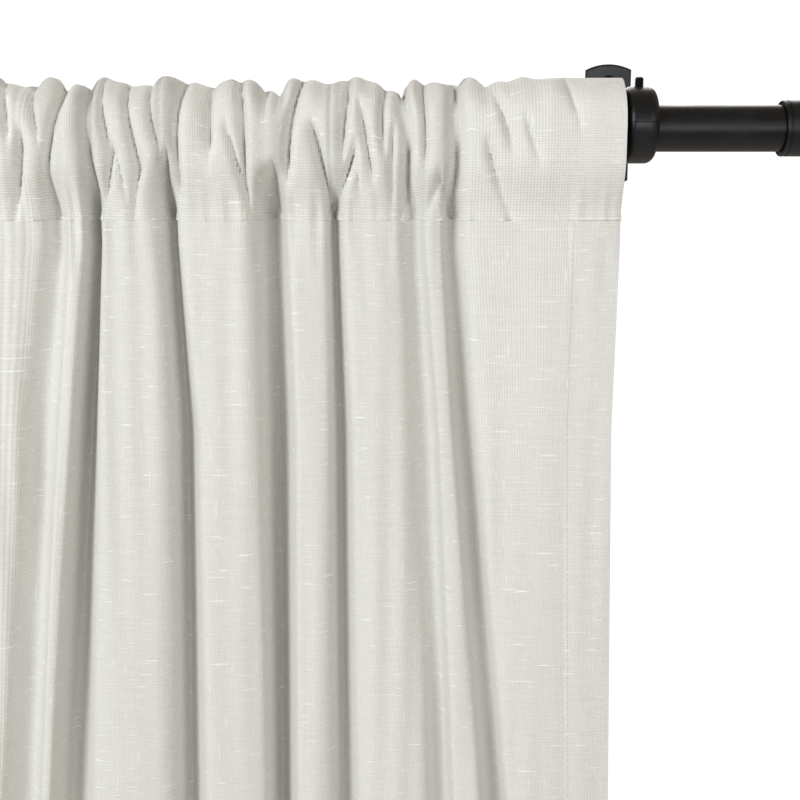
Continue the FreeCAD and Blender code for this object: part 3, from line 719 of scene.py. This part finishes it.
    def pocket(self, loop, e0, d0):
        """The pocket's tube of cloth: loop runs 0 at the stitch line, up the front to 1 at the header, and
        down the back to 2. Gives e, d and h in mm, one row for each value of loop."""
        rod = ROD_R / MM
        top = self.header_top(e0)
        loop = np.asarray(loop, float)[:, None]
        face = np.sin(np.where(loop <= 1, loop, 2 - loop) * math.pi / 2)
        h = STITCH + (top - STITCH) * face
        up = smooth_step(h, STITCH, STITCH + ROUND_OUT)
        above = np.clip(h / np.maximum(top, 1), 0, 1)
        body = TUBE_EDGE + (rod + TUBE_EASE) * (1 - above**TUBE_HEIGHT_POWER) ** TUBE_ROUND_POWER
        within = smooth_step(e0, *ENDS_CALM) * smooth_step(SPAN - e0, *ENDS_CALM)
        lean = LEAN_SOFT * self.soft(e0, h) + LEAN_FINE * self.fine(e0, h)
        lean = lean * at_least(LEAN_AT_ENDS, within)
        frill = FRILL * smooth_step(h, *FRILL_HEIGHTS) * self.soft(e0 * FRILL_SQUEEZE + FRILL_SHIFT, 0)
        frill = frill * at_least(FRILL_AT_ENDS, within)
        groove = CREASE_DEPTH * self.crease(e0, h)
        front = d0 * (1 - up) + body * up - groove * at_least(GROOVE_AT_STITCH, up) + lean * up + frill
        back = d0 * (1 - up) - BACK_EASE * body * up + groove * up + BACK_LEAN * lean * up + frill
        back = back - BACK_GATHER * (1 + self.tight(e0, h)) * np.clip(face * BACK_CLOSE, 0, 1) * within
        room = np.sqrt(np.clip((rod + ROD_CLEARANCE) ** 2 - h**2, 0, None))
        front = np.where(room > 0, np.maximum(front, room), front)
        back = np.where(room > 0, np.minimum(back, -room), back)
        middle = (front + back) / 2
        front = np.maximum(front, middle + FACES_APART)
        back = np.minimum(back, middle - FACES_APART)
        d = np.where(loop <= 1, front, back)
        return np.broadcast_to(e0, d.shape), d, h

    def columns(self):
        """The first and last columns of the outer hem, the cloth between the hems and the leading hem."""
        first = (len(OUTER_HEM_POINTS) - 1) * STEPS
        end = len(self.weights) - 1
        last = end - (len(LEAD_HEM_POINTS) - 1) * STEPS
        return {"outer": (0, first), "middle": (first, last), "leading": (last, end)}

    def lengths(self):
        """Cloth length from the outer edge to each column, in mm, at mid height."""
        e, d = (values[0] for values in self.drop([HEM / 2]))
        return np.cumsum([0, *np.hypot(np.diff(e), np.diff(d))])

    def world(self, e, d, h):
        """Points in metres in the frame: x, y and z."""
        x = OUTER_X[self.side] + INWARD[self.side] * e * MM
        return x, ROD_Y - d * MM, ROD_Z + h * MM


PANELS = {
    "left": Panel("left", LEFT_PLEATS, [], seed=11),
    "right": Panel("right", RIGHT_PLEATS, RIGHT_CREASES, seed=5),
}


# ---------------------------------------------------------------- mesh helpers


# Rows of the hanging cloth, in mm: their steps near the top and further down, and where they widen.
TOP_STEP = 6.0
LOW_STEP = 24.0
WIDENING_FALLS = (60, 520)
FOOT_ROWS = 9

# The pocket's rows, from the stitch line up the front to the header and down the back.
FRONT_TO_BACK = np.concatenate([np.linspace(0, 1, 37), np.linspace(1, 2, 15)[1:]])

MM_PER_CM = 10
POCKET_END_LAYERS = 1.5
SEAM_ANGLE = math.radians(70)
NEARLY_NOTHING = 1e-9


def drop_rows(high, low):
    """Heights from high to low, close together near the top and wider apart further down."""
    rows, h = [high], high
    while h > low:
        h -= TOP_STEP + (LOW_STEP - TOP_STEP) * smooth_step(-h, *WIDENING_FALLS)
        rows.append(float(h))
    rows[-1] = low
    if len(rows) > 2 and rows[-2] - low < TOP_STEP / 2:
        del rows[-2]
    return np.array(rows)


def choose(piece):
    """Selects one piece alone and makes it active."""
    bpy.ops.object.select_all(action="DESELECT")
    piece.select_set(True)
    bpy.context.view_layer.objects.active = piece


def put(name, data):
    """A new object in the scene for a mesh, a lamp or a camera."""
    thing = bpy.data.objects.new(name, data)
    bpy.context.scene.collection.objects.link(thing)
    return thing


def new_piece(name, mesh, material):
    """An object for a new mesh, with its material, chosen."""
    mesh.materials.append(material)
    piece = put(name, mesh)
    choose(piece)
    return piece


def sheet_mesh(name, places, uv, flip, thickness, material):
    """A grid of cloth points (rows by columns) as one sheet, thickened backwards."""
    rows, columns = places[0].shape
    mesh = bpy.data.meshes.new(name)
    points = np.stack(places, axis=-1).reshape(-1, 3)
    index = np.arange(rows * columns).reshape(rows, columns)
    corners = [index[:-1, :-1], index[1:, :-1], index[1:, 1:], index[:-1, 1:]]
    if flip:
        corners.reverse()
    faces = np.stack(corners, axis=-1).reshape(-1, 4)
    mesh.from_pydata(points.tolist(), [], faces.tolist())
    layer = mesh.uv_layers.new(name="cloth_cm")
    loops = np.empty(len(mesh.loops), int)
    mesh.loops.foreach_get("vertex_index", loops)
    flat = np.stack(uv, axis=-1).reshape(-1, 2)
    layer.data.foreach_set("uv", flat[loops].astype(np.float32).ravel())
    mesh.update()
    piece = new_piece(name, mesh, material)
    solid = piece.modifiers.new("thickness", "SOLIDIFY")
    solid.thickness = thickness
    solid.offset = -1.0
    bpy.ops.object.modifier_apply(modifier=solid.name)
    bpy.ops.object.shade_smooth_by_angle(angle=SEAM_ANGLE)
    return piece


def linen():
    return bpy.data.materials.get("linen_cloth_weave") or linen_material()


def cloth_places(panel, part, rows):
    """Points and UV of the hanging cloth for one part's columns at the given heights."""
    first, last = panel.columns()[part]
    e, d = (values[:, first : last + 1] for values in panel.drop(rows))
    h = np.broadcast_to(rows[:, None], e.shape)
    along = panel.lengths()[first : last + 1]
    uv = (np.broadcast_to(along / MM_PER_CM, e.shape), h / MM_PER_CM)
    return panel.world(e, d, h), uv


def pocket_places(panel, part):
    """Points and UV of one part of the pocket's tube."""
    e0, d0, along = panel.pocket_columns(part)
    e, d, h = panel.pocket(FRONT_TO_BACK, e0, d0)
    height = STITCH + (HEADER - STITCH) * FRONT_TO_BACK[:, None]
    uv = (np.broadcast_to(along / MM_PER_CM, e.shape), np.broadcast_to(height / MM_PER_CM, e.shape))
    return panel.world(e, d, h), uv


def along_path(at, marks, path):
    """The point of a path at a distance along it; marks are its points' own distances."""
    return np.array([np.interp(at, marks, path[:, axis]) for axis in range(3)])


def stitch_mesh(name, path, out, material):
    """Stitches along a path: short, low, rounded dashes of thread. out is the cloth's outward side."""
    out = out / np.maximum(np.linalg.norm(out, axis=1, keepdims=True), NEARLY_NOTHING)
    marks = np.cumsum([0, *np.linalg.norm(np.diff(path, axis=0), axis=1)])
    starts = np.arange(STITCH_GAP, marks[-1] - STITCH_LENGTH, STITCH_LENGTH + STITCH_GAP)
    sides = range(THREAD_SIDES)
    last_ring = (len(STITCH_RINGS) - 1) * THREAD_SIDES
    vertices, faces = [], []
    for start in starts:
        first = len(vertices)
        for share, swell in STITCH_RINGS:
            at = start + STITCH_LENGTH * share
            centre = along_path(at, marks, path)
            upward = along_path(at, marks, out)
            across = np.cross(along_path(at + MM, marks, path) - centre, upward)
            across /= max(np.linalg.norm(across), NEARLY_NOTHING)
            for side in sides:
                angle = TURN * side / THREAD_SIDES
                lift = upward * (math.cos(angle) * swell + THREAD_LIFT) + across * math.sin(angle) * swell
                vertices.append((centre + lift * THREAD_R).tolist())
        for ring in range(first, first + last_ring, THREAD_SIDES):
            for side in sides:
                a, b = ring + side, ring + (side + 1) % THREAD_SIDES
                faces.append((a, b, b + THREAD_SIDES, a + THREAD_SIDES))
        faces.append([first + side for side in reversed(sides)])
        faces.append([first + last_ring + side for side in sides])
    mesh = bpy.data.meshes.new(name)
    mesh.from_pydata(vertices, [], faces)
    mesh.update()
    piece = new_piece(name, mesh, material)
    bpy.ops.object.mode_set(mode="EDIT")
    bpy.ops.mesh.select_all(action="SELECT")
    bpy.ops.mesh.normals_make_consistent(inside=False)
    bpy.ops.object.mode_set(mode="OBJECT")
    bpy.ops.object.shade_smooth()
    return piece


def row_stitches(panel, name, e, d, height, material):
    """A row of stitches across the cloth, at one height."""
    path = np.stack(panel.world(e, d, np.broadcast_to(height, e.shape)), axis=-1)
    ahead = np.gradient(path, axis=0)
    out = np.stack([ahead[:, 1], -ahead[:, 0], np.zeros(len(path))], axis=-1) * INWARD[panel.side]
    return stitch_mesh(name, path, out, material)


def hem_stitches(panel, name, part, material):
    """A row of stitches down a side hem's inner edge."""
    first, last = panel.columns()[part]
    near, far = (last - 1, last) if part == "outer" else (first, first + 1)
    rows = drop_rows(STITCH, FOOT)
    e, d = panel.drop(rows)
    path = np.stack(panel.world(*(0.5 * (v[:, near] + v[:, far]) for v in (e, d)), rows), axis=-1)
    run, rise = (values[:, far] - values[:, near] for values in (e, d))
    out = np.stack([-rise * INWARD[panel.side], -run, 0 * rows], axis=-1)
    return stitch_mesh(name, path, out, material)


def middle_span(panel):
    """The points on the rod's axis where the cloth leaves the outer hem and meets the leading hem."""
    e, _ = panel.drop([STITCH])
    points = [panel.world(e[0][column], 0.0, 0.0) for column in panel.columns()["middle"]]
    return [tuple(map(float, point)) for point in points]


def gather(piece, panel):
    """Bakes a piece's placing into its mesh; it also finds where the cloth meets the two side hems, which
    nothing then uses.
    """
    start, end = middle_span(panel)
    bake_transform(piece)


# ---------------------------------------------------------------- operators


class CURTAIN_OT_metalwork(bpy.types.Operator):
    """Gives the rod, end caps and brackets their finishes"""

    bl_idname = "curtain.metalwork"
    bl_label = "Finish the rod and brackets"

    def execute(self, context):
        finishes = {
            "black_metal": powder_coat_material(),
            "zinc_steel": zinc_material(),
            "black_nylon": nylon_material(),
        }
        for name, finish in NODE_FINISHES.items():
            finish_node(name, finishes[finish])
        return {"FINISHED"}


class CURTAIN_OT_rod_pockets(bpy.types.Operator):
    """Makes both rod pockets: gathered tubes of cloth with a standing header"""

    bl_idname = "curtain.rod_pockets"
    bl_label = "Make the rod pockets"

    def execute(self, context):
        layer = context.scene.curtain_cloth.layer
        for side, panel in PANELS.items():
            places, uv = pocket_places(panel, "middle")
            piece = sheet_mesh(f"{side}_gathered_pocket", places, uv, side == "left", layer, linen())
            gather(piece, panel)
            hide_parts(f"{side}_rod_pocket")
        return {"FINISHED"}


class CURTAIN_OT_drop_panels(bpy.types.Operator):
    """Makes both drop panels, from the stitch line down to the bottom hem"""

    bl_idname = "curtain.drop_panels"
    bl_label = "Make the drop panels"

    def execute(self, context):
        layer = context.scene.curtain_cloth.layer
        for side, panel in PANELS.items():
            places, uv = cloth_places(panel, "middle", drop_rows(STITCH, HEM))
            piece = sheet_mesh(f"{side}_hanging_cloth", places, uv, side == "right", layer, linen())
            gather(piece, panel)
            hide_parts(f"{side}_drop_panel")
        return {"FINISHED"}


class CURTAIN_OT_bottom_hems(bpy.types.Operator):
    """Makes both bottom hems, turned up in layers"""

    bl_idname = "curtain.bottom_hems"
    bl_label = "Make the bottom hems"

    def execute(self, context):
        cloth = context.scene.curtain_cloth
        thick = cloth.layer * cloth.hem_layers
        for side, panel in PANELS.items():
            places, uv = cloth_places(panel, "middle", np.linspace(HEM, FOOT, FOOT_ROWS))
            piece = sheet_mesh(f"{side}_turned_foot", places, uv, side == "right", thick, linen())
            gather(piece, panel)
            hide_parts(f"{side}_bottom_hem")
        return {"FINISHED"}


class CURTAIN_OT_side_hems(bpy.types.Operator):
    """Makes the four side hems, from the header down to the foot"""

    bl_idname = "curtain.side_hems"
    bl_label = "Make the side hems"

    def execute(self, context):
        for side, panel in PANELS.items():
            for part, body in HEM_BODIES.items():
                self.side_hem(context.scene.curtain_cloth, side, panel, part, f"{side}_{body}")
        return {"FINISHED"}

    def side_hem(self, cloth, side, panel, part, body):
        """One side hem: its strip down the hanging cloth and its end of the pocket."""
        thick = cloth.layer * cloth.hem_layers
        places, uv = cloth_places(panel, part, drop_rows(STITCH, FOOT))
        strip = sheet_mesh(f"{side}_{part}_edge_hem", places, uv, side == "right", thick, linen())
        thick = cloth.layer * POCKET_END_LAYERS
        places, uv = pocket_places(panel, part)
        end = sheet_mesh(f"{side}_{part}_pocket_end", places, uv, side == "left", thick, linen())
        for piece in (strip, end):
            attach(piece, body)
        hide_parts(f"{side}_{part}_hem")


class CURTAIN_OT_stitching(bpy.types.Operator):
    """Sews the rows of stitches: below the rod, along the bottom hems and down the side hems"""

    bl_idname = "curtain.stitching"
    bl_label = "Sew the stitching"

    def execute(self, context):
        thread = thread_material()
        for side, panel in PANELS.items():
            self.pocket_row(side, panel, thread)
            self.foot_row(side, panel, thread)
            for part, body in HEM_BODIES.items():
                piece = hem_stitches(panel, f"{side}_{part}_hem_stitching", part, thread)
                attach(piece, f"{side}_{body}")
        return {"FINISHED"}

    def pocket_row(self, side, panel, thread):
        """The row that closes the rod pocket, just above the stitch line."""
        e0, d0, _ = panel.pocket_columns("middle")
        loop = math.asin(STITCH_INSET / (HEADER - STITCH)) * 2 / math.pi
        e, d, h = (values[0] for values in panel.pocket([loop], e0, d0))
        gather(row_stitches(panel, f"{side}_pocket_stitching", e, d, h, thread), panel)

    def foot_row(self, side, panel, thread):
        """The row that holds the turned foot, just under its top."""
        first, last = panel.columns()["middle"]
        height = HEM - STITCH_INSET
        e, d = (values[0][first : last + 1] for values in panel.drop([height]))
        gather(row_stitches(panel, f"{side}_foot_stitching", e, d, height, thread), panel)


# The stage, in metres: the lamps point at a spot on the right panel, below the rod.
LIT_SPOT = (RING_X - 0.25, ROD_Y, ROD_Z - 0.2)
WHITE = (1.0, 1.0, 1.0)
SKY_COLOUR = (1.0, 0.88, 0.71)
SKY_STRENGTH = 0.33
GROUND_STRENGTH = 1.05
FLOOR_SIZE = 5
SENSOR_WIDTH = 36


class CURTAIN_OT_stage(bpy.types.Operator):
    """Adds the floor, the soft lights and the camera"""

    bl_idname = "curtain.stage"
    bl_label = "Set the stage"

    def execute(self, context):
        stage = context.scene.curtain_stage
        self.floor(stage)
        self.sky()
        self.lights()
        self.camera(stage)
        context.scene.view_settings.view_transform = "Standard"
        return {"FINISHED"}

    def floor(self, stage):
        bpy.ops.object.select_all(action="DESELECT")
        place = (RING_X / 2, 0, FOOT_Z - stage.floor)
        bpy.ops.mesh.primitive_plane_add(size=FLOOR_SIZE, location=place)
        floor = bpy.context.active_object
        floor.name = "studio_floor"
        n = Nodes("pale_floor")
        n.set(Roughness=0.9)
        tone = n.noise(n.coordinates("Object"), scale=1.5, detail=4.0)
        n.colour(n.mix_colour(tone, (0.86, 0.86, 0.855, 1), (0.9, 0.9, 0.895, 1)))
        floor.data.materials.append(n.material)

    def sky(self):
        """A warm, weak sky that the camera sees as a white ground."""
        world = bpy.context.scene.world or bpy.data.worlds.new("studio")
        bpy.context.scene.world = world
        world.use_nodes = True
        tree = world.node_tree
        sky = tree.nodes["Background"]
        sky.inputs["Color"].default_value = opaque(SKY_COLOUR)
        sky.inputs["Strength"].default_value = SKY_STRENGTH
        ground = {"Color": opaque(WHITE), "Strength": GROUND_STRENGTH}
        seen = add_node(tree, "ShaderNodeLightPath").outputs["Is Camera Ray"]
        inputs = {0: seen, 1: sky.outputs[0], 2: add_node(tree, "ShaderNodeBackground", ground).outputs[0]}
        either = add_node(tree, "ShaderNodeMixShader", inputs)
        tree.links.new(either.outputs["Shader"], tree.nodes["World Output"].inputs["Surface"])

    def lights(self):
        self.soft_box("key", (-1.6, -1.9, 1.0), size=1.2, watts=52, colour=(0.90, 0.96, 1.0))
        self.soft_box("fill", (1.6, -1.9, 0.7), size=1.4, watts=10, colour=WHITE)
        self.soft_box("back", (0.3, 2.3, 1.3), size=1.6, watts=40, colour=(1.0, 0.98, 0.96))
        self.soft_box("front", (0.5, -2.3, 0.28), size=0.45, watts=8, colour=(0.82, 0.9, 1.0))

    def soft_box(self, name, place, size, watts, colour):
        """A square lamp that points at the lit spot; its place is measured from there, in metres."""
        data = bpy.data.lights.new(name, "AREA")
        data.size = size
        data.energy = watts
        data.color = colour
        lamp = put(name, data)
        away = Vector(place)
        lamp.location = Vector(LIT_SPOT) + away
        lamp.rotation_euler = (-away).to_track_quat("-Z", "Y").to_euler()

    def camera(self, stage):
        data = bpy.data.cameras.new("camera")
        data.lens = stage.lens
        data.sensor_width = SENSOR_WIDTH
        camera = put("camera", data)
        camera.location = (RING_X - stage.camera_side, ROD_Y - stage.camera_distance, ROD_Z)
        camera.rotation_euler = (math.pi / 2 - stage.camera_pitch, 0, 0)
        bpy.context.scene.camera = camera


class CURTAIN_PT_panel(bpy.types.Panel):
    """Lists the curtain's operators and its sizes and colours"""

    bl_idname = "CURTAIN_PT_panel"
    bl_label = "Curtains"
    bl_space_type = "VIEW_3D"
    bl_region_type = "UI"
    bl_category = "Curtains"

    def draw(self, context):
        layout = self.layout
        for operator in OPERATORS:
            layout.operator(operator.bl_idname)
        for group_name, kind in GROUPS.items():
            box = layout.box()
            for name in kind.__annotations__:
                box.prop(getattr(context.scene, group_name), name)


OPERATORS = (
    CURTAIN_OT_metalwork, CURTAIN_OT_rod_pockets, CURTAIN_OT_drop_panels, CURTAIN_OT_bottom_hems,
    CURTAIN_OT_side_hems, CURTAIN_OT_stitching, CURTAIN_OT_stage,
)
GROUPS = {"curtain_cloth": CurtainCloth, "curtain_metal": CurtainMetal, "curtain_stage": CurtainStage}


def node_finishes():
    """Which finish each CAD node that stays visible has."""
    finishes = dict.fromkeys(("outer_tube", "inner_tube"), "black_metal")
    finishes |= dict.fromkeys(("tube_bush", "inner_tube_glide", "right_cap_sleeve"), "black_nylon")
    for side in SIDES:
        for name in ("wall_plate", "arm", "cradle", "keeper", "set_screw", "end_cap"):
            finishes[f"{side}_{name}"] = "black_metal"
        for name in ("arm_screw", "hinge_pin"):
            finishes[f"{side}_{name}"] = "zinc_steel"
    return finishes


NODE_FINISHES = node_finishes()


def register():
    for group in GROUPS.values():
        bpy.utils.register_class(group)
    for name, group in GROUPS.items():
        setattr(bpy.types.Scene, name, bpy.props.PointerProperty(type=group))
    for operator in OPERATORS:
        bpy.utils.register_class(operator)
    bpy.utils.register_class(CURTAIN_PT_panel)


def unregister():
    bpy.utils.unregister_class(CURTAIN_PT_panel)
    for operator in reversed(OPERATORS):
        bpy.utils.unregister_class(operator)
    for name in GROUPS:
        delattr(bpy.types.Scene, name)
    for group in reversed(GROUPS.values()):
        bpy.utils.unregister_class(group)


def main():
    register()
    bpy.ops.curtain.metalwork()
    bpy.ops.curtain.rod_pockets()
    bpy.ops.curtain.drop_panels()
    bpy.ops.curtain.bottom_hems()
    bpy.ops.curtain.side_hems()
    bpy.ops.curtain.stitching()
    bpy.ops.curtain.stage()


if __name__ == "__main__":
    main()
